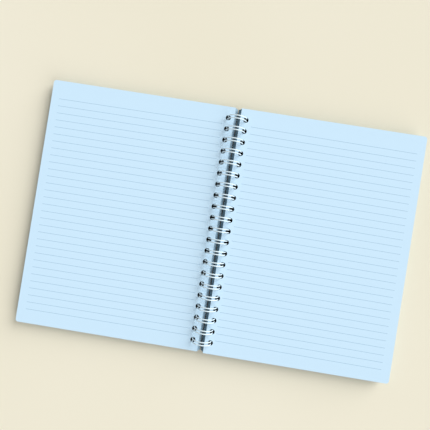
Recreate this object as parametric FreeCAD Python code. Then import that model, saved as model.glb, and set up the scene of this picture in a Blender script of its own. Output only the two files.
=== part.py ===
"""An open notebook, bound with a twin-loop wire, lying flat with its pages turned half way.

X runs across the spine to the right, Y along the spine and Z up. The origin is on the table,
under the middle of the binding.
"""
import FreeCAD, Part
import math
import os

# Driving sizes in millimetres: the sheets
SHEET_LENGTH = 279.4        # along the spine, eleven inches
SHEET_WIDTH = 210.0         # from the punched edge to the outer edge
CORNER_RADIUS = 3.0         # of the outer corners
PUNCH_PITCH = 12.7          # from hole to hole, two to the inch
HOLE_DIAMETER = 5.9
PUNCH_MARGIN = 6.6          # from a hole's centre to the punched edge of a sheet
LEFT_TOP_BELOW_AXIS = 0.9   # the turned pages end this much below the loops' middle
SHUT_GAP = 0.1              # left between the two stacks when the notebook is shut

# The covers
CARD_THICKNESS = 0.8
COVER_MARGIN = 5.8          # from a hole's centre to the cover's punched edge
COVER_OVER_WIRE = 0.27      # clearance of the lifted margin over the wire
LIFTED_MARGIN = 4.3         # level strip outside the holes, before the card runs down
RAMP_RUN = 20.0             # over which the card comes down to the table
PAGES_OVER_COVER = 0.12     # clearance between the pages and the card under them
SPINE_GAP = 0.8             # between the two covers, and between the two lowest sheets

# The binding wire
LOOP_RADIUS = 10.5          # of the wire's centre line
WIRE_DIAMETER = 1.2
TWIN_SPACING = 3.3          # between the centre lines of the two wires of a loop
BEND_RADIUS = 1.5           # where a loop turns into the bar that leads to the next one
SEAM_GAP = 0.36             # between the loops' tips and the bars
STUB_LENGTH = 1.2           # of the cut ends
WIRE_OVER_TABLE = 0.1
HOLE_PLAY_OUTSIDE = 0.4     # the top sheets' hole centres lie this far inside the wire

# What follows from them
WIRE_RADIUS = WIRE_DIAMETER / 2
HOLE_RADIUS = HOLE_DIAMETER / 2
HALF_TWIN = TWIN_SPACING / 2
LOOPS = round(SHEET_LENGTH / PUNCH_PITCH) - 1
SEAM_X = (SEAM_GAP + WIRE_DIAMETER) / 2
TIP_DEPTH = math.sqrt(LOOP_RADIUS**2 + HALF_TWIN**2 - SEAM_X**2)
BAR_DEPTH = math.sqrt(LOOP_RADIUS**2 + BEND_RADIUS**2 - SEAM_X**2)
AXIS_Z = max(TIP_DEPTH, BAR_DEPTH) + WIRE_RADIUS + WIRE_OVER_TABLE

# The covers' holes, and the height at which their margins clear the wire
COVER_HOLE_X = SPINE_GAP / 2 + COVER_MARGIN
WEB_EDGE_X = COVER_HOLE_X - math.sqrt(HOLE_RADIUS**2 - HALF_TWIN**2)
MARGIN_Z = AXIS_Z - math.sqrt((LOOP_RADIUS - WIRE_RADIUS)**2 - WEB_EDGE_X**2) + COVER_OVER_WIRE
RAMP_X = COVER_HOLE_X + LIFTED_MARGIN
RAMP_TURN = 2 * math.atan(MARGIN_Z / RAMP_RUN)
RAMP_RADIUS = RAMP_RUN / 2 / math.sin(RAMP_TURN)

# The stacks: their tops, and the arcs on which the sheets fan out round the loops
LEFT_TOP = AXIS_Z - LEFT_TOP_BELOW_AXIS
RIGHT_TOP = AXIS_Z + LEFT_TOP_BELOW_AXIS - SHUT_GAP
PAGES_Z = CARD_THICKNESS + PAGES_OVER_COVER
HOLE_X = LOOP_RADIUS - HOLE_PLAY_OUTSIDE
INNER_X = HOLE_X - PUNCH_MARGIN
OUTER_X = INNER_X + SHEET_WIDTH
SPINE_DEPTH = AXIS_Z - MARGIN_Z - PAGES_Z
OUTER_DEPTH = AXIS_Z - PAGES_Z
FAN_SHIFT = INNER_X - SPINE_GAP / 2
SPINE_FAN = (FAN_SHIFT**2 + SPINE_DEPTH**2) / (2 * FAN_SHIFT)
OUTER_FAN = (FAN_SHIFT**2 + OUTER_DEPTH**2) / (2 * FAN_SHIFT)


def at(x, z, y=0.0):
    return FreeCAD.Vector(x, y, z)


def line(start, end):
    return Part.LineSegment(start, end).toShape()


def arc(start, middle, end):
    return Part.Arc(start, middle, end).toShape()


def round_arc(centre, radius, first, last):
    """An arc in the XZ plane between two angles in radians, from +X towards +Z."""
    ends = []
    for angle in (first, (first + last) / 2, last):
        ends.append(centre + at(radius * math.cos(angle), radius * math.sin(angle)))
    return arc(*ends)


def loop_places():
    """Y of each loop, the same distance from both ends of the sheets."""
    return [(i - (LOOPS - 1) / 2) * PUNCH_PITCH for i in range(LOOPS)]


def end_angle(bend):
    """How far from the bottom a loop ends, so that a bend of that radius stops at the seam."""
    reach = math.hypot(LOOP_RADIUS, bend)
    return math.atan(bend / LOOP_RADIUS) + math.asin(SEAM_X / reach)


def loop_edges(y):
    """One double loop: in from its bar, round to the tip at the seam, back, and out again."""
    axis = at(0, AXIS_Z)
    along = FreeCAD.Vector(0, 1, 0)
    bar_angle = end_angle(BEND_RADIUS)
    tip_angle = end_angle(HALF_TWIN)
    foot = at(LOOP_RADIUS * math.sin(bar_angle), AXIS_Z - LOOP_RADIUS * math.cos(bar_angle))
    up = at(math.cos(bar_angle), math.sin(bar_angle))
    tip = at(-LOOP_RADIUS * math.sin(tip_angle), AXIS_Z - LOOP_RADIUS * math.cos(tip_angle), y)
    on = at(math.cos(tip_angle), -math.sin(tip_angle))
    first = -math.pi / 2 + bar_angle
    last = 3 * math.pi / 2 - tip_angle
    near = along * (y - HALF_TWIN)
    far = along * (y + HALF_TWIN)
    diagonal = BEND_RADIUS * math.sqrt(0.5)

    def bend(side, way):
        """A quarter turn between the bar and the loop; way is where the bar lies, along Y."""
        centre = foot + side + along * (BEND_RADIUS * way)
        bar_end = centre - up * BEND_RADIUS
        middle = centre - up * diagonal - along * (diagonal * way)
        return bar_end, middle, foot + side

    into = bend(near, -1)
    out = bend(far, 1)
    return [
        arc(*into),
        round_arc(axis + near, LOOP_RADIUS, first, last),
        arc(tip - along * HALF_TWIN, tip + on * HALF_TWIN, tip + along * HALF_TWIN),
        round_arc(axis + far, LOOP_RADIUS, last, first),
        arc(*reversed(out)),
    ]


def twin_loop_wire():
    """The whole binding is one wire: bars at the bottom join the double loops in a row."""
    stub = FreeCAD.Vector(0, STUB_LENGTH, 0)
    edges = []
    end = None
    for y in loop_places():
        loop = loop_edges(y)
        start = loop[0].firstVertex(True).Point
        edges.append(line(end or start - stub, start))
        edges += loop
        end = loop[-1].lastVertex(True).Point
    edges.append(line(end, end + stub))
    path = Part.Wire(edges)
    section = Part.Circle(edges[0].firstVertex(True).Point, stub, WIRE_RADIUS).toShape()
    solid = path.makePipeShell([Part.Wire([section])], True, False)
    expected = math.pi * WIRE_RADIUS**2 * path.Length
    print("wire", round(path.Length, 1), "mm long, volume over section by length",
          round(solid.Volume / expected, 5))
    return solid


def card_line(offset, inner, outer):
    """The lie of the card from the inner to the outer edge, a distance above its underside."""
    level = MARGIN_Z + offset
    crest = at(RAMP_X, MARGIN_Z - RAMP_RADIUS)
    valley = at(RAMP_X + RAMP_RUN, RAMP_RADIUS)
    right = math.pi / 2
    down = round_arc(crest, RAMP_RADIUS + offset, right, right - RAMP_TURN)
    out = round_arc(valley, RAMP_RADIUS - offset, -right - RAMP_TURN, -right)
    return [
        line(at(inner, level), at(RAMP_X, level)),
        down,
        out,
        line(at(RAMP_X + RAMP_RUN, offset), at(outer, offset)),
    ]


def plate(edges, length):
    """A closed outline in the XZ plane, drawn out to a length about the middle of the spine."""
    face = Part.Face(Part.Wire(Part.sortEdges(edges)[0]))
    face.translate(at(0, 0, -length / 2))
    return face.extrude(at(0, 0, length))


def round_outer_corners(solid):
    """Rounds the two upright edges at the outer side of a cover."""
    corners = []
    for edge in solid.Edges:
        box = edge.BoundBox
        if box.XMin > OUTER_X / 2 and box.XLength + box.YLength < 1e-6:
            corners.append(edge)
    return solid.makeFillet(CORNER_RADIUS, corners)


def cover():
    """The right cover: card with round holes, lifted over the wire along the spine."""
    inner = SPINE_GAP / 2
    outer = inner + COVER_MARGIN + SHEET_WIDTH - PUNCH_MARGIN
    edges = card_line(0, inner, outer) + card_line(CARD_THICKNESS, inner, outer)
    edges.append(line(at(inner, MARGIN_Z), at(inner, MARGIN_Z + CARD_THICKNESS)))
    edges.append(line(at(outer, 0), at(outer, CARD_THICKNESS)))
    solid = round_outer_corners(plate(edges, SHEET_LENGTH))
    punches = []
    for y in loop_places():
        foot = at(COVER_HOLE_X, MARGIN_Z - CARD_THICKNESS, y)
        punches.append(Part.makeCylinder(HOLE_RADIUS, 3 * CARD_THICKNESS, foot))
    return solid.cut(Part.makeCompound(punches))


def fan_x(x, fan, z):
    """Where a line of the fan lies at a height: sheets away from the axis sit further in."""
    return x - fan + math.sqrt(fan**2 - (AXIS_Z - z)**2)


def fan_arc(x, fan, low, high, y=0.0):
    """A fan's arc between two heights, through x at the height of the loops' middle."""
    heights = (low, (low + high) / 2, high)
    return arc(*[at(fan_x(x, fan, z), z, y) for z in heights])


def along_fan(outline, path):
    """A level outline carried up a fan's arc without turning, as the sheets lie."""
    sweep = Part.BRepOffsetAPI.MakePipeShell(Part.Wire([path]))
    sweep.setTrihedronMode(at(0, 0), at(0, 1))
    sweep.add(Part.Wire(outline))
    sweep.build()
    sweep.makeSolid()
    return sweep.shape()


def tunnel(y, top):
    """The way of one loop through a stack: a round hole in every sheet, moved with the fan."""
    low = MARGIN_Z + CARD_THICKNESS
    foot = at(fan_x(HOLE_X, SPINE_FAN, low), low, y)
    hole = Part.Circle(foot, at(0, 1), HOLE_RADIUS).toShape()
    return along_fan([hole], fan_arc(HOLE_X, SPINE_FAN, low, top + CARD_THICKNESS, y))


def rounded_stack(top):
    """Sheets with rounded outer corners, fanned at the outer edge and too wide at the spine."""
    low = CARD_THICKNESS
    end = SHEET_LENGTH / 2
    outer = fan_x(OUTER_X, OUTER_FAN, low)
    inner = outer - OUTER_X
    side = outer - CORNER_RADIUS
    slant = CORNER_RADIUS * (1 - math.sqrt(0.5))

    def corner(way):
        before = at(side, low, way * end)
        middle = at(outer - slant, low, way * (end - slant))
        after = at(outer, low, way * (end - CORNER_RADIUS))
        return before, middle, after

    near = corner(-1)
    far = corner(1)
    outline = [
        line(at(inner, low, -end), near[0]),
        arc(*near),
        line(near[2], far[2]),
        arc(*reversed(far)),
        line(far[0], at(inner, low, end)),
        line(at(inner, low, end), at(inner, low, -end)),
    ]
    return along_fan(outline, fan_arc(OUTER_X, OUTER_FAN, low, top + CARD_THICKNESS))


def pages(top):
    """The right stack of pages, up to a height, over the lie of the card."""
    inner_z = MARGIN_Z + PAGES_Z
    inner = fan_x(INNER_X, SPINE_FAN, inner_z)
    beyond = OUTER_X + CORNER_RADIUS
    inner_top = at(fan_x(INNER_X, SPINE_FAN, top), top)
    edges = card_line(PAGES_Z, inner, beyond)
    edges.append(fan_arc(INNER_X, SPINE_FAN, inner_z, top))
    edges.append(line(inner_top, at(beyond, top)))
    edges.append(line(at(beyond, top), at(beyond, PAGES_Z)))
    stack = plate(edges, SHEET_LENGTH + 2 * CORNER_RADIUS).common(rounded_stack(top))
    return stack.cut(Part.makeCompound([tunnel(y, top) for y in loop_places()]))


def to_the_left(shape):
    """The pieces are alike at both ends, so half a turn about Z puts one on the other side."""
    left = shape.copy()
    left.rotate(at(0, 0), at(0, 1), 180)
    return left


def main():
    os.makedirs("parts", exist_ok=True)
    nodes = {
        "twin_loop_wire": twin_loop_wire(),
        "front_cover": to_the_left(cover()),
        "left_pages": to_the_left(pages(LEFT_TOP)),
        "right_pages": pages(RIGHT_TOP),
        "back_cover": cover(),
    }
    for name, shape in nodes.items():
        print(name, "solids", len(shape.Solids), "valid", shape.isValid(), "volume", round(shape.Volume))
        shape.exportStep(f"parts/{name}.step")
    print("loops", LOOPS, "axis at z", round(AXIS_Z, 3), "margin at z", round(MARGIN_Z, 3))


main()
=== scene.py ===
# %% [markdown]
# # An open wire-bound notebook
# The notebook lies open on a table with its pages turned about half way. A white twin-loop wire
# holds two stacks of ruled sheets and a card cover on each side. The solids come from CAD, and this
# lesson dresses them: a lighter wire, sheets that can be told apart, print on the paper, and light.

import math
import random

import bmesh
import bpy
from mathutils import Matrix, Vector


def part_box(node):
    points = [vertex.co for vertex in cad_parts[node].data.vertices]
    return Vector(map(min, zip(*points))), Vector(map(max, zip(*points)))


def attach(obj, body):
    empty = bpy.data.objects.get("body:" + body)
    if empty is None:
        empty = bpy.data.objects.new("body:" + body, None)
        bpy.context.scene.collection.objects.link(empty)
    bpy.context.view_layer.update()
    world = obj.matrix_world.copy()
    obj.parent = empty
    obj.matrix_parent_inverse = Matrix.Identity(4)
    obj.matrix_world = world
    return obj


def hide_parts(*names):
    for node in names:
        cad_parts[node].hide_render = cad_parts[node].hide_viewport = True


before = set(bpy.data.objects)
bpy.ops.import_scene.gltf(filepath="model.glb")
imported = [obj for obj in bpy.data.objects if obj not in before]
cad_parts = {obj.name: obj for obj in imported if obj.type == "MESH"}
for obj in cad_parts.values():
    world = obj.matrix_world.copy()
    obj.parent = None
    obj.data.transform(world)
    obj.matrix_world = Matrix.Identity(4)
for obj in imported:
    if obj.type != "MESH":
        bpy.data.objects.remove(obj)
bpy.context.view_layer.update()

# %% [markdown]
# ## Sizes
# Bookbinders think in millimetres and Blender in metres, so lengths are written in millimetres
# and turned once. The sizes are those that the CAD source works out: the loops' middle stands
# 11.3 mm over the table, and the holes are 12.7 mm apart, two to the inch.

# %% Sizes of the binding and the sheets
MM = 0.001
AXIS = Vector((0.0, 0.0, 11.3002)) * MM
LOOPS = 21
PITCH = 12.7 * MM
LOOP_RADIUS = 10.5 * MM
WIRE_RADIUS = 0.6 * MM
HALF_TWIN = 1.65 * MM
BEND_RADIUS = 1.5 * MM
SEAM_X = 0.78 * MM
STUB = 1.2 * MM

SHEET_LENGTH = 279.4 * MM
SHEET_WIDTH = 210.0 * MM
INNER_X = 3.5 * MM
HOLE_X = 10.1 * MM
HOLE_RADIUS = 2.95 * MM
SPINE_FAN = 11.797 * MM
MARGIN_Z = 2.41 * MM
RAMP_X = 10.5 * MM
RAMP_RUN = 20.0 * MM
PAGES_OVER_TABLE = 0.95 * MM
LEFT_TOP = 10.4 * MM
RIGHT_TOP = 12.1 * MM

loop_places = [(i - (LOOPS - 1) / 2) * PITCH for i in range(LOOPS)]
print("loops from", loop_places[0], "to", loop_places[-1])

# %% [markdown]
# ## From a bmesh to a piece
# Each piece is shaped in a bmesh, which holds vertices, edges and faces without an object. One
# function turns it into a piece. Faces are shaded smooth and the edges between them are marked
# sharp where they turn by more than 30 degrees, so a round wire looks round and a cut stays crisp.

# %% A function that makes a piece
SHARP = math.radians(30)


def make_piece(name, form, body, node):
    """Turns a bmesh into a piece that rides on a body and stands for a CAD node."""
    for face in form.faces:
        face.smooth = True
    for edge in form.edges:
        edge.smooth = edge.is_manifold and edge.calc_face_angle() < SHARP
    open_edges = sum(not edge.is_manifold for edge in form.edges)
    mesh = bpy.data.meshes.new(name)
    form.to_mesh(mesh)
    piece = bpy.data.objects.new(name, mesh)
    bpy.context.scene.collection.objects.link(piece)
    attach(piece, body)
    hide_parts(node)
    triangles = sum(len(face.verts) - 2 for face in form.faces)
    print(name, triangles, "triangles,", open_edges, "open edges, volume",
          round(form.calc_volume(signed=True) / MM**3), "mm3")
    form.free()
    return piece


# %% [markdown]
# ## The twin-loop wire
# The binding is one steel wire, bent to and fro into double loops on a flat comb that is then
# rolled shut. Straight bars join the loops at the seam. A curve with a round bevel could draw it,
# but then every bend has to be placed by its handles. The wire bender's own way is simpler: a
# small circle is carried along the wire, and every bend is a spin about that bend's centre.
# Each spin goes on from the ring where the last one ended, so the tube stays in one piece.

# %% How far round each end of a loop comes
WIRE_SIDES = 12
LOOP_STEPS = 48
TIP_STEPS = 8
BEND_STEPS = 5
WELD = 0.01 * MM
ALONG = Vector((0.0, 1.0, 0.0))


def end_angle(bend):
    """The angle from the bottom where a loop ends, so that a bend of that radius meets the seam."""
    reach = math.hypot(LOOP_RADIUS, bend)
    return math.atan(bend / LOOP_RADIUS) + math.asin(SEAM_X / reach)


def outward(angle):
    """The direction from the loops' middle to a place on them, by its angle from the bottom."""
    return Vector((math.sin(angle), 0.0, -math.cos(angle)))


bar_angle = end_angle(BEND_RADIUS)
tip_angle = end_angle(HALF_TWIN)
print("a loop runs from", round(math.degrees(bar_angle), 1), "degrees right of the bottom to",
      round(math.degrees(tip_angle), 1), "degrees left of it")


# %% Carrying the ring along the wire
def turn(form, ring, centre, axis, angle, steps):
    """Carries the ring of edges round a centre and gives the ring at the end."""
    made = bmesh.ops.spin(form, geom=ring, cent=centre, axis=axis, angle=angle, steps=steps,
                          use_merge=False, use_duplicate=False)
    return [part for part in made["geom_last"] if isinstance(part, bmesh.types.BMEdge)]


def push(form, ring, way):
    """Carries the ring of edges straight along."""
    made = bmesh.ops.extrude_edge_only(form, edges=ring)
    points = [part for part in made["geom"] if isinstance(part, bmesh.types.BMVert)]
    bmesh.ops.translate(form, verts=points, vec=way)
    return [part for part in made["geom"] if isinstance(part, bmesh.types.BMEdge)
            and all(point in points for point in part.verts)]


def cap(form, ring):
    """Closes the cut end of the wire."""
    bmesh.ops.contextual_create(form, geom=ring)


# %% One loop and the bar after it
def bend_loop():
    """One double loop about Y 0, from the start of its first bend to the end of the bar after it."""
    form = bmesh.new()
    radial = outward(bar_angle)
    foot = AXIS + radial * LOOP_RADIUS
    tip = AXIS + outward(-tip_angle) * LOOP_RADIUS
    round_loop = 2 * math.pi - bar_angle - tip_angle
    near = ALONG * -HALF_TWIN
    far = ALONG * HALF_TWIN
    start = foot - outward(bar_angle + math.pi / 2) * BEND_RADIUS + near - ALONG * BEND_RADIUS
    lie = Matrix.Translation(start) @ Matrix.Rotation(math.pi / 2, 4, "X")
    bmesh.ops.create_circle(form, segments=WIRE_SIDES, radius=WIRE_RADIUS, matrix=lie)
    ring = form.edges[:]
    ring = turn(form, ring, foot + near - ALONG * BEND_RADIUS, radial, math.pi / 2, BEND_STEPS)
    ring = turn(form, ring, AXIS + near, -ALONG, round_loop, LOOP_STEPS)
    ring = turn(form, ring, tip, outward(-tip_angle), -math.pi, TIP_STEPS)
    ring = turn(form, ring, AXIS + far, ALONG, round_loop, LOOP_STEPS)
    ring = turn(form, ring, foot + far + ALONG * BEND_RADIUS, radial, math.pi / 2, BEND_STEPS)
    push(form, ring, ALONG * (PITCH - 2 * (HALF_TWIN + BEND_RADIUS)))
    mesh = bpy.data.meshes.new("one_loop")
    form.to_mesh(mesh)
    form.free()
    return mesh


# %% [markdown]
# The comb is the same loop 21 times, so one loop is bent and the rest are copies, welded ring to
# ring. The last bar is cut off where the real wire ends, and both cut ends are closed.

# %% The whole wire
def wire_comb():
    """The binding from one cut end to the other."""
    form = bmesh.new()
    loop = bend_loop()
    for y in loop_places:
        before = len(form.verts)
        form.from_mesh(loop)
        form.verts.ensure_lookup_table()
        bmesh.ops.translate(form, verts=form.verts[before:], vec=ALONG * y)
    bmesh.ops.remove_doubles(form, verts=form.verts, dist=WELD)
    end = loop_places[-1] + HALF_TWIN + BEND_RADIUS + STUB
    first_ring = [edge for edge in form.edges if edge.is_boundary and edge.verts[0].co.y < 0]
    push(form, first_ring, ALONG * -STUB)
    everything = form.verts[:] + form.edges[:] + form.faces[:]
    bmesh.ops.bisect_plane(form, geom=everything, plane_co=ALONG * end, plane_no=ALONG, clear_outer=True)
    open_rings = [edge for edge in form.edges if edge.is_boundary]
    for side in (-1, 1):
        cap(form, [edge for edge in open_rings if edge.verts[0].co.y * side > 0])
    bmesh.ops.recalc_face_normals(form, faces=form.faces)
    return form


wire = make_piece("twin_loops", wire_comb(), "binding", "twin_loop_wire")

# %% [markdown]
# ## One sheet
# A sheet is cut, its outer corners are rounded, and a row of round holes is punched along the
# spine. The punched margin starts as an outline with 21 circles in it, which one fill turns into
# faces. The rest is drawn out from that margin's outer edge, with a row of edges wherever the
# sheet will bend, so the wide part stays clean quads and bends without creases. The faces of the
# page, its cut edges and the walls of its holes each get a number, to be given their own finish.

# %% The punched sheet, flat
PAGE_FACE, CUT_EDGE, HOLE_WALL = range(3)
HOLE_SIDES = 20
CORNER_RADIUS = 3.0 * MM
CORNER_STEPS = 5
LEAF = 0.27 * MM
STRAY = 0.12 * MM
HALF_LENGTH = SHEET_LENGTH / 2 - STRAY
PUNCHED_EDGE = 14.0 * MM
ROW_GAP = 2.2 * MM
bend_rows = [PUNCHED_EDGE + ROW_GAP * i for i in range(1, 9)]
page_rows = [60 * MM, 100 * MM, 140 * MM, 180 * MM, INNER_X + SHEET_WIDTH - STRAY]


def nearest_hole(face):
    """The middle of the hole next to a face, seen from above."""
    y = face.calc_center_median().y
    return Vector((HOLE_X, min(loop_places, key=lambda place: abs(place - y))))


def cut_sheet():
    """A flat sheet with its holes and its thickness, with its top at height 0."""
    form = bmesh.new()
    between = [(a + b) / 2 for a, b in zip(loop_places, loop_places[1:])]
    ends = [-HALF_LENGTH, loop_places[0] - PITCH / 2, *between, loop_places[-1] + PITCH / 2, HALF_LENGTH]
    outer = [form.verts.new((PUNCHED_EDGE, y, 0)) for y in ends]
    inner = [form.verts.new((INNER_X, y, 0)) for y in (HALF_LENGTH, -HALF_LENGTH)]
    around = outer + inner
    outline = [form.edges.new(pair) for pair in zip(around, around[1:] + around[:1])]
    margin_edge = outline[:len(outer) - 1]
    for y in loop_places:
        bmesh.ops.create_circle(form, segments=HOLE_SIDES, radius=HOLE_RADIUS,
                                matrix=Matrix.Translation((HOLE_X, y, 0)))
    bmesh.ops.triangle_fill(form, use_beauty=True, use_dissolve=False, edges=form.edges[:])
    row = margin_edge
    x = PUNCHED_EDGE
    for next_x in bend_rows + page_rows:
        row = push(form, row, Vector((next_x - x, 0, 0)))
        x = next_x
    corners = [point for point in form.verts
               if point.co.x > x - STRAY and abs(point.co.y) > HALF_LENGTH - STRAY]
    bmesh.ops.bevel(form, geom=corners, offset=CORNER_RADIUS, affect="VERTICES",
                    segments=CORNER_STEPS, profile=0.5, material=-1)
    below = bmesh.ops.extrude_face_region(form, geom=form.faces[:], use_keep_orig=True)
    lowered = [part for part in below["geom"] if isinstance(part, bmesh.types.BMVert)]
    bmesh.ops.translate(form, verts=lowered, vec=(0, 0, -LEAF))
    bmesh.ops.recalc_face_normals(form, faces=form.faces)
    for face in form.faces:
        face.material_index = PAGE_FACE
        if abs(face.normal.z) < 0.5:
            in_hole = (face.calc_center_median().xy - nearest_hole(face)).length < HOLE_RADIUS
            face.material_index = HOLE_WALL if in_hole else CUT_EDGE
    return form


sheet = cut_sheet()
print("sheet faces", len(sheet.faces), "open edges", sum(not e.is_manifold for e in sheet.edges),
      "area", round(sheet.calc_volume() / LEAF * 1e4), "cm2")

# %% [markdown]
# ## Two stacks
# The loops hold each sheet by its holes, so the sheets fan out round them: a sheet below the
# loops' middle sits further in. Near the spine the stack rests on the cover's margin, which the
# wire lifts off the table, and further out it lies flat. Real sheets are a tenth of a millimetre
# thick, too thin to tell apart in a picture, so one modelled sheet stands for about three. Each is
# a copy of the cut sheet, moved by its place in the fan, knocked slightly out of line and lowered
# on to what lies under it.

# %% How the sheets lie
RAMP_TURN = 2 * math.atan(MARGIN_Z / RAMP_RUN)
RAMP_RADIUS = RAMP_RUN / 2 / math.sin(RAMP_TURN)
LEFT_SHEETS = 24
RIGHT_SHEETS = 30


def card_height(x):
    """How high the cover's underside lies over the table at a distance from the spine."""
    run = min(max(x - RAMP_X, 0), RAMP_RUN)
    if run < RAMP_RUN / 2:
        return MARGIN_Z - RAMP_RADIUS + math.sqrt(RAMP_RADIUS**2 - run**2)
    return RAMP_RADIUS - math.sqrt(RAMP_RADIUS**2 - (RAMP_RUN - run)**2)


def fan_shift(z):
    """How far a sheet at that height over the margin sits in from one at the loops' middle."""
    return math.sqrt(SPINE_FAN**2 - (AXIS.z - z)**2) - SPINE_FAN


def lay(form, share, top, dice):
    """Adds a copy of the sheet, a share of the way from the lowest (0) to the top one (1)."""
    lowest = MARGIN_Z + PAGES_OVER_TABLE + LEAF
    shift = fan_shift(lowest + share * (top - lowest))
    astray = (dice.uniform(-STRAY, 0), dice.uniform(-STRAY, STRAY))
    before = len(form.verts)
    form.from_mesh(cut_mesh)
    form.verts.ensure_lookup_table()
    for point in form.verts[before:]:
        point.co.x += shift + astray[0]
        point.co.y += astray[1]
        rest = card_height(point.co.x) + PAGES_OVER_TABLE + LEAF
        point.co.z += rest + share * (top - rest)


cut_mesh = bpy.data.meshes.new("cut_sheet")
sheet.to_mesh(cut_mesh)
sheet.free()
print("a ramp of", round(math.degrees(RAMP_TURN), 1), "degrees, lowest sheet in by",
      round(fan_shift(MARGIN_Z + PAGES_OVER_TABLE) / MM, 2), "mm")


# %% Both stacks
def stack(sheets, top, side, seed):
    """A stack to the right (side 1) or, after half a turn about Z, to the left (side -1)."""
    form = bmesh.new()
    dice = random.Random(seed)
    for i in range(sheets):
        lay(form, i / (sheets - 1), top, dice)
    if side < 0:
        half_turn = Matrix.Rotation(math.pi, 3, "Z")
        bmesh.ops.rotate(form, verts=form.verts, cent=(0, 0, 0), matrix=half_turn)
    return form


left_stack = stack(LEFT_SHEETS, LEFT_TOP, side=-1, seed=3)
left = make_piece("left_sheets", left_stack, "left_pages", "left_pages")
right_stack = stack(RIGHT_SHEETS, RIGHT_TOP, side=1, seed=5)
right = make_piece("right_sheets", right_stack, "right_pages", "right_pages")
for piece, node in ((left, "left_pages"), (right, "right_pages")):
    low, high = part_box(node)
    points = [point.co for point in piece.data.vertices]
    over = [max(p[i] for p in points) - high[i] for i in range(3)]
    under = [low[i] - min(p[i] for p in points) for i in range(3)]
    most = [round(max(pair) / MM, 3) for pair in zip(over, under)]
    print(piece.name, "stands out of its solid by", most, "mm")

# %% [markdown]
# ## Nodes
# Every material below is a chain of nodes. One function adds a node, sets its options and fills
# its inputs with values or with links from other nodes. Colours are given as sRGB hex values, but a
# shader reckons with linear light, so one more function turns them.

# %% Two helpers for materials
def linear(hex_colour):
    """An sRGB hex colour as linear red, green, blue and alpha."""
    parts = [int(hex_colour[i:i + 2], 16) / 255 for i in (1, 3, 5)]
    return [c / 12.92 if c <= 0.04045 else ((c + 0.055) / 1.055)**2.4 for c in parts] + [1.0]


def add(tree, kind, inputs, **settings):
    """Adds a node, sets its options, and gives each named or numbered input a value or a link."""
    node = tree.nodes.new(kind)
    for name, value in settings.items():
        setattr(node, name, value)
    for name, value in inputs.items():
        if isinstance(value, bpy.types.NodeSocket):
            tree.links.new(value, node.inputs[name])
        else:
            node.inputs[name].default_value = value
    return node


def new_material(name):
    """An empty material and its node tree."""
    material = bpy.data.materials.new(name)
    material.use_nodes = True
    material.node_tree.nodes.clear()
    return material, material.node_tree


def per_metre(size):
    """A noise texture's scale for a grain of that size."""
    return 1 / size


# %% [markdown]
# ## Paper
# Uncoated writing paper is pressed from pulp. Its fibres show as a faint cloudiness and a slightly
# rough, dull surface, with no shine at any angle. The rules are printed: thin grey-blue lines
# 8.1 mm apart, which stop before the margins. They follow Object coordinates: the distance along
# the spine is folded into the distance from the nearest rule, and two comparisons keep the ink
# inside its field. The press never prints quite square to the cut, so each side has its own turn.
# Only the top sheet of a stack is seen whole. Of those under it, the strips that fan out at the
# spine and the rims inside the holes can be seen, and their colour is painted shade for the shade
# between the real, thinner sheets: near black in the holes, and on the fan strips lighter on the
# left, which the lamps light, than on the right, which lies in their shadow.

# %% What the paper is like
RULES = 31
RULE_WIDTH = 0.36 * MM
INK_BLUR = 0.1
FIBRE = 0.5 * MM
FAN_STRIP = 4.0 * MM
PAPER = "#CFEBFE"
PAPER_THIN = "#C9E6FA"
RULE_INK = "#8EB5D1"
# Painted shade for the lower sheets' faces that show: near black on the rims inside the holes; on the
# fan strips lighter on the left, where the lamps from the right fall, and darker on the right, which
# lies in their shadow.
HOLE_PAINTED_SHADE = "#0E1418"
LEFT_FAN_SHADE = "#B0C9D8"
RIGHT_FAN_SHADE = "#7F9BAA"
PAGE_ROUGHNESS = 0.88
PAPER_IOR = 1.45
TOOTH = 0.02 * MM
print("rules on a page", RULES, "of", round(RULE_WIDTH / MM, 2), "mm")


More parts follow.
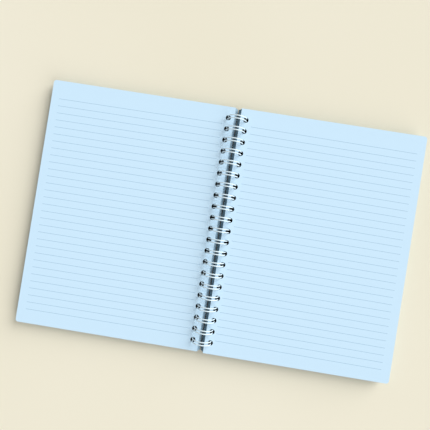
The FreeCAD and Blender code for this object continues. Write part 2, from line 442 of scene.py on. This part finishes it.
# %% The page material
def paper(name, tilt, rules, field, top, fan_shade):
    """Ruled paper: rules is the first and last rule along Y, field the ends of the rules along X; lower
    sheets get painted shade.
    """
    material, tree = new_material(name)
    place = add(tree, "ShaderNodeTexCoord", {})
    turned = add(tree, "ShaderNodeMapping", {"Vector": place.outputs["Object"],
                                             "Rotation": (0, 0, math.radians(tilt)),
                                             "Location": (0, -rules[0], 0)})
    across = add(tree, "ShaderNodeSeparateXYZ", {0: turned.outputs[0]})
    gap = (rules[0] - rules[1]) / (RULES - 1)
    from_rule = add(tree, "ShaderNodeMath", {0: across.outputs["Y"], 1: gap / 2},
                    operation="PINGPONG")
    line = add(tree, "ShaderNodeMapRange", {"Value": from_rule.outputs[0],
                                            "From Min": RULE_WIDTH * (0.5 + INK_BLUR),
                                            "From Max": RULE_WIDTH * (0.5 - INK_BLUR),
                                            "To Min": 0.0, "To Max": 1.0})
    run = (rules[1] - rules[0]) / 2
    along = add(tree, "ShaderNodeMath", {0: across.outputs["Y"], 1: run, 2: abs(run) + RULE_WIDTH},
                operation="COMPARE")
    wide = add(tree, "ShaderNodeMath", {0: across.outputs["X"], 1: sum(field) / 2,
                                        2: abs(field[1] - field[0]) / 2}, operation="COMPARE")
    inside = add(tree, "ShaderNodeMath", {0: along.outputs[0], 1: wide.outputs[0]}, operation="MULTIPLY")
    ink = add(tree, "ShaderNodeMath", {0: line.outputs[0], 1: inside.outputs[0]}, operation="MULTIPLY")
    cloud = add(tree, "ShaderNodeTexNoise", {"Vector": place.outputs["Object"],
                                             "Scale": per_metre(FIBRE), "Detail": 4.0,
                                             "Roughness": 0.6})
    pulp = add(tree, "ShaderNodeMix", {"Factor": cloud.outputs["Fac"], "A": linear(PAPER_THIN),
                                       "B": linear(PAPER)}, data_type="RGBA")
    printed = add(tree, "ShaderNodeMix", {"Factor": ink.outputs[0], "A": pulp.outputs["Result"],
                                          "B": linear(RULE_INK)}, data_type="RGBA")
    # Painted shade: faces under the top sheet that face up take fan_shade in the strip by the spine and
    # the near-black hole shade everywhere else.
    where = add(tree, "ShaderNodeSeparateXYZ", {0: place.outputs["Object"]})
    facing = add(tree, "ShaderNodeSeparateXYZ", {0: place.outputs["Normal"]})
    under = add(tree, "ShaderNodeMath", {0: where.outputs["Z"], 1: top - LEAF / 2},
                operation="LESS_THAN")
    upward = add(tree, "ShaderNodeMath", {0: facing.outputs["Z"], 1: 0.5}, operation="GREATER_THAN")
    between = add(tree, "ShaderNodeMath", {0: under.outputs[0], 1: upward.outputs[0]},
                  operation="MULTIPLY")
    strip = add(tree, "ShaderNodeMath", {0: where.outputs["X"], 1: 0.0, 2: FAN_STRIP},
                operation="COMPARE")
    shade = add(tree, "ShaderNodeMix", {"Factor": strip.outputs[0], "A": linear(HOLE_PAINTED_SHADE),
                                        "B": linear(fan_shade)}, data_type="RGBA")
    colour = add(tree, "ShaderNodeMix", {"Factor": between.outputs[0], "A": printed.outputs["Result"],
                                         "B": shade.outputs["Result"]}, data_type="RGBA")
    bump = add(tree, "ShaderNodeBump", {"Height": cloud.outputs["Fac"], "Strength": 0.25,
                                        "Distance": TOOTH})
    shader = add(tree, "ShaderNodeBsdfPrincipled", {"Base Color": colour.outputs["Result"],
                                                    "Roughness": PAGE_ROUGHNESS, "IOR": PAPER_IOR,
                                                    "Normal": bump.outputs[0]})
    add(tree, "ShaderNodeOutputMaterial", {"Surface": shader.outputs[0]})
    return material


# %% [markdown]
# The cut edges of a pile of paper show every sheet as a thin line, paler and darker by turns, with
# a slit of shade between. The darker tone is painted shade between the sheets, and it keeps the
# edges greyer than the page. The lines come from a noise that is stretched along the sheet. Lines a
# tenth of a millimetre apart are too fine to show in a picture of the whole notebook, so there is
# one for every four real sheets. The walls of the punched holes are painted almost black in both
# tones, as painted shade for the shade deep in the holes, so they show almost black from above.

# %% The cut edges and the holes
REAL_SHEET = 0.12 * MM
EDGE_LINES = 4 * REAL_SHEET
DRAWN_OUT = 50
EDGE_ROUGHNESS = 0.92
EDGE_GROOVE = 0.05 * MM
# Painted shade: the darker edge tone stands for the shade between the sheets, and the hole tone is
# painted shade, near black, for the shade deep in the holes.
EDGE_PALE = "#C4DCE9"
EDGE_SHADE = "#9AB1BE"
HOLE_SHADE = "#05080A"


def cut_paper(name, pale, shade):
    """Paper seen on its cut edge, with lines along the sheets; shade is painted shade between them."""
    material, tree = new_material(name)
    place = add(tree, "ShaderNodeTexCoord", {})
    drawn_out = add(tree, "ShaderNodeMapping", {"Vector": place.outputs["Object"],
                                                "Scale": (1 / DRAWN_OUT, 1 / DRAWN_OUT, 1.0)})
    lines = add(tree, "ShaderNodeTexNoise", {"Vector": drawn_out.outputs[0],
                                             "Scale": per_metre(EDGE_LINES), "Detail": 2.0})
    colour = add(tree, "ShaderNodeMix", {"Factor": lines.outputs["Fac"], "A": linear(shade),
                                         "B": linear(pale)}, data_type="RGBA")
    bump = add(tree, "ShaderNodeBump", {"Height": lines.outputs["Fac"], "Strength": 0.5,
                                        "Distance": EDGE_GROOVE})
    shader = add(tree, "ShaderNodeBsdfPrincipled", {"Base Color": colour.outputs["Result"],
                                                    "Roughness": EDGE_ROUGHNESS, "IOR": PAPER_IOR,
                                                    "Normal": bump.outputs[0]})
    add(tree, "ShaderNodeOutputMaterial", {"Surface": shader.outputs[0]})
    return material


# %% Dress both stacks, each with its own print
edges = cut_paper("cut_paper_edges", EDGE_PALE, EDGE_SHADE)
# The hole walls take painted shade in both tones, near black.
holes = cut_paper("punched_hole_walls_painted_shade", HOLE_PAINTED_SHADE, HOLE_SHADE)
left_print = {"tilt": -0.2, "rules": (119.5 * MM, -123.0 * MM), "field": (-204 * MM, -15.6 * MM)}
right_print = {"tilt": 0.4, "rules": (120.3 * MM, -123.9 * MM), "field": (15.8 * MM, 204 * MM)}
left_page = paper("offset_paper_left", top=LEFT_TOP, fan_shade=LEFT_FAN_SHADE, **left_print)
right_page = paper("offset_paper_right", top=RIGHT_TOP, fan_shade=RIGHT_FAN_SHADE, **right_print)
for stack_piece, page in ((left, left_page), (right, right_page)):
    for finish in (page, edges, holes):
        stack_piece.data.materials.append(finish)
for side_print in (left_print, right_print):
    first, last = side_print["rules"]
    print("rules", round((first - last) / (RULES - 1) / MM, 2), "mm apart")

# %% [markdown]
# ## Coated wire and card
# The wire is steel in a thin white nylon coat. The coat flows as it sets, which leaves it smooth
# with a soft gloss and a faint unevenness. Its pale blue tint is painted reflection of the blue
# pages round it. The covers are grey board: pressed paper fibre, dull, flecked, and paler where the
# die has cut through it.

# %% The wire material
# Painted reflection: both coat tones are tinted pale blue for the blue of the pages that the white coat
# reflects.
COAT = "#E4F4FB"
COAT_WORN = "#D8EAF3"
COAT_SWELL = 1.5 * MM

coat, tree = new_material("nylon_coated_steel")
place = add(tree, "ShaderNodeTexCoord", {})
uneven = add(tree, "ShaderNodeTexNoise", {"Vector": place.outputs["Object"],
                                          "Scale": per_metre(COAT_SWELL), "Detail": 2.0})
tone = add(tree, "ShaderNodeMix", {"Factor": uneven.outputs["Fac"], "A": linear(COAT_WORN),
                                   "B": linear(COAT)}, data_type="RGBA")
swell = add(tree, "ShaderNodeBump", {"Height": uneven.outputs["Fac"], "Strength": 0.3,
                                     "Distance": 0.03 * MM})
shader = add(tree, "ShaderNodeBsdfPrincipled", {"Base Color": tone.outputs["Result"], "Roughness": 0.35,
                                                "IOR": 1.5, "Normal": swell.outputs[0]})
add(tree, "ShaderNodeOutputMaterial", {"Surface": shader.outputs[0]})
wire.data.materials.append(coat)
print(coat.name, "nodes", len(tree.nodes))

# %% The cover material
CARD = "#747C7F"
CARD_FLECK = "#4F575B"
CARD_CORE = "#9A9C98"
FLECK = 1.2 * MM

card, tree = new_material("grey_cover_board")
place = add(tree, "ShaderNodeTexCoord", {})
fleck = add(tree, "ShaderNodeTexNoise", {"Vector": place.outputs["Object"],
                                         "Scale": per_metre(FLECK), "Detail": 6.0,
                                         "Roughness": 0.7})
face_tone = add(tree, "ShaderNodeMix", {"Factor": fleck.outputs["Fac"], "A": linear(CARD_FLECK),
                                        "B": linear(CARD)}, data_type="RGBA")
facing = add(tree, "ShaderNodeSeparateXYZ", {0: place.outputs["Normal"]})
upright = add(tree, "ShaderNodeMath", {0: facing.outputs["Z"]}, operation="ABSOLUTE")
cut = add(tree, "ShaderNodeMath", {0: upright.outputs[0], 1: 0.5}, operation="LESS_THAN")
card_tone = add(tree, "ShaderNodeMix", {"Factor": cut.outputs[0], "A": face_tone.outputs["Result"],
                                        "B": linear(CARD_CORE)}, data_type="RGBA")
tooth = add(tree, "ShaderNodeBump", {"Height": fleck.outputs["Fac"], "Strength": 0.4,
                                     "Distance": 0.05 * MM})
shader = add(tree, "ShaderNodeBsdfPrincipled", {"Base Color": card_tone.outputs["Result"],
                                                "Roughness": 0.8, "IOR": PAPER_IOR,
                                                "Normal": tooth.outputs[0]})
add(tree, "ShaderNodeOutputMaterial", {"Surface": shader.outputs[0]})
print(card.name, "nodes", len(tree.nodes))

# %% Dress both covers
for name in ("front_cover", "back_cover"):
    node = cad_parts[name]
    node.data.materials.clear()
    node.data.materials.append(card)

# %% [markdown]
# ## Table, light and camera
# The notebook lies on a plain cream table, photographed from straight above. The table's laminate
# is matt: it takes soft shadows and gives hardly any glare, also when it is seen from low down.

# %% The table
TABLE_COLOUR = "#F1ECDA"
TABLE_MOTTLE = "#E9E3CC"
MOTTLE = 400 * MM
HALF_TABLE = 8000 * MM

table_form = bmesh.new()
bmesh.ops.create_grid(table_form, x_segments=1, y_segments=1, size=HALF_TABLE)
table_mesh = bpy.data.meshes.new("table")
table_form.to_mesh(table_mesh)
table_form.free()
table = bpy.data.objects.new("table", table_mesh)
bpy.context.scene.collection.objects.link(table)
print("table", 2 * HALF_TABLE, "m square")

# %% The table's material
laminate, tree = new_material("cream_laminate")
place = add(tree, "ShaderNodeTexCoord", {})
broad = add(tree, "ShaderNodeTexNoise", {"Vector": place.outputs["Object"],
                                         "Scale": per_metre(MOTTLE), "Detail": 1.0})
cream = add(tree, "ShaderNodeMix", {"Factor": broad.outputs["Fac"], "A": linear(TABLE_MOTTLE),
                                    "B": linear(TABLE_COLOUR)}, data_type="RGBA")
shader = add(tree, "ShaderNodeBsdfPrincipled", {"Base Color": cream.outputs["Result"],
                                                "Roughness": 0.9, "Specular IOR Level": 0.15})
add(tree, "ShaderNodeOutputMaterial", {"Surface": shader.outputs[0]})
table.data.materials.append(laminate)
print(laminate.name, "nodes", len(tree.nodes))

# %% [markdown]
# Two broad lamps stand low on the right of the notebook, the stronger one further up, and throw
# soft shadows to the left and a little above and below. An even sky fills them. A far lamp could be
# an area light, but a broad sun gives the same soft edge everywhere and its share of the light is
# easy to reckon. Sky and lamps together come to about 1 on the page, so every colour renders about
# as it is written. The white sky itself stays out of sight: the camera and mirrored rays see a
# plain cream like the table's instead.

# %% The lamps
SKY = 0.39
UPPER_SHARE = 0.45
LOWER_SHARE = 0.17
LAMP_HEIGHT = 28


def softbox(name, share, height, side, size):
    """A far, broad lamp that gives a level page that share of its light; angles in degrees."""
    up = math.radians(height)
    round_z = math.radians(side)
    level = Vector((math.cos(round_z), math.sin(round_z), 0))
    towards = level * math.cos(up) + Vector((0, 0, math.sin(up)))
    lamp = bpy.data.lights.new(name, "SUN")
    lamp.energy = share * math.pi / math.sin(up)
    lamp.angle = math.radians(size)
    holder = bpy.data.objects.new(name, lamp)
    bpy.context.scene.collection.objects.link(holder)
    holder.rotation_mode = "QUATERNION"
    holder.rotation_quaternion = towards.to_track_quat("Z", "Y")


softbox("key_upper_right", UPPER_SHARE, LAMP_HEIGHT, side=42, size=49)
softbox("key_lower_right", LOWER_SHARE, LAMP_HEIGHT, side=-40, size=52)
print("light on the page", round(SKY + UPPER_SHARE + LOWER_SHARE, 2))

# %% The sky
world = bpy.data.worlds.new("studio")
bpy.context.scene.world = world
world.use_nodes = True
tree = world.node_tree
tree.nodes.clear()
rays = add(tree, "ShaderNodeLightPath", {})
mirrored = add(tree, "ShaderNodeMath", {0: rays.outputs["Is Glossy Ray"],
                                        1: rays.outputs["Is Transmission Ray"]}, operation="MAXIMUM")
seen = add(tree, "ShaderNodeMath", {0: rays.outputs["Is Camera Ray"], 1: mirrored.outputs[0]},
           operation="MAXIMUM")
sky = add(tree, "ShaderNodeBackground", {"Color": (1, 1, 1, 1), "Strength": SKY})
backdrop = add(tree, "ShaderNodeBackground", {"Color": linear(TABLE_COLOUR), "Strength": 1.0})
shown = add(tree, "ShaderNodeMixShader", {0: seen.outputs[0], 1: sky.outputs[0],
                                          2: backdrop.outputs[0]})
add(tree, "ShaderNodeOutputWorld", {"Surface": shown.outputs[0]})
print("world nodes", len(tree.nodes))

# %% [markdown]
# The camera's place and turn were worked out from the corners of the pages and the holes, whose
# real sizes are known. Two directions, to the right and up in the photo, give its turn.

# %% The camera
RIGHT_OF_PHOTO = Vector((0.98722, 0.15824, -0.01884))
UP_OF_PHOTO = Vector((-0.15815, 0.9874, 0.00621))
CAMERA_PLACE = Vector((1.33, 14.40, 462.87)) * MM
IMAGE_PIXELS = 430
FOCAL_PIXELS = 400

lens = bpy.data.cameras.new("camera")
lens.sensor_width = 36.0
lens.lens = FOCAL_PIXELS / IMAGE_PIXELS * lens.sensor_width
lens.clip_start = 10 * MM
lens.clip_end = 20
camera = bpy.data.objects.new("camera", lens)
bpy.context.scene.collection.objects.link(camera)
back = RIGHT_OF_PHOTO.cross(UP_OF_PHOTO).normalized()
up = back.cross(RIGHT_OF_PHOTO).normalized()
turned = Matrix((RIGHT_OF_PHOTO.normalized(), up, back)).transposed()
camera.matrix_world = Matrix.Translation(CAMERA_PLACE) @ turned.to_4x4()
bpy.context.scene.camera = camera
bpy.context.scene.view_settings.view_transform = "Standard"
print("lens", round(lens.lens, 2), "mm")

# %% [markdown]
# ## Last step
# The view layer is brought up to date once more. The dressed notebook has to fill the
# same box as the solids.

# %% Finish
bpy.context.view_layer.update()
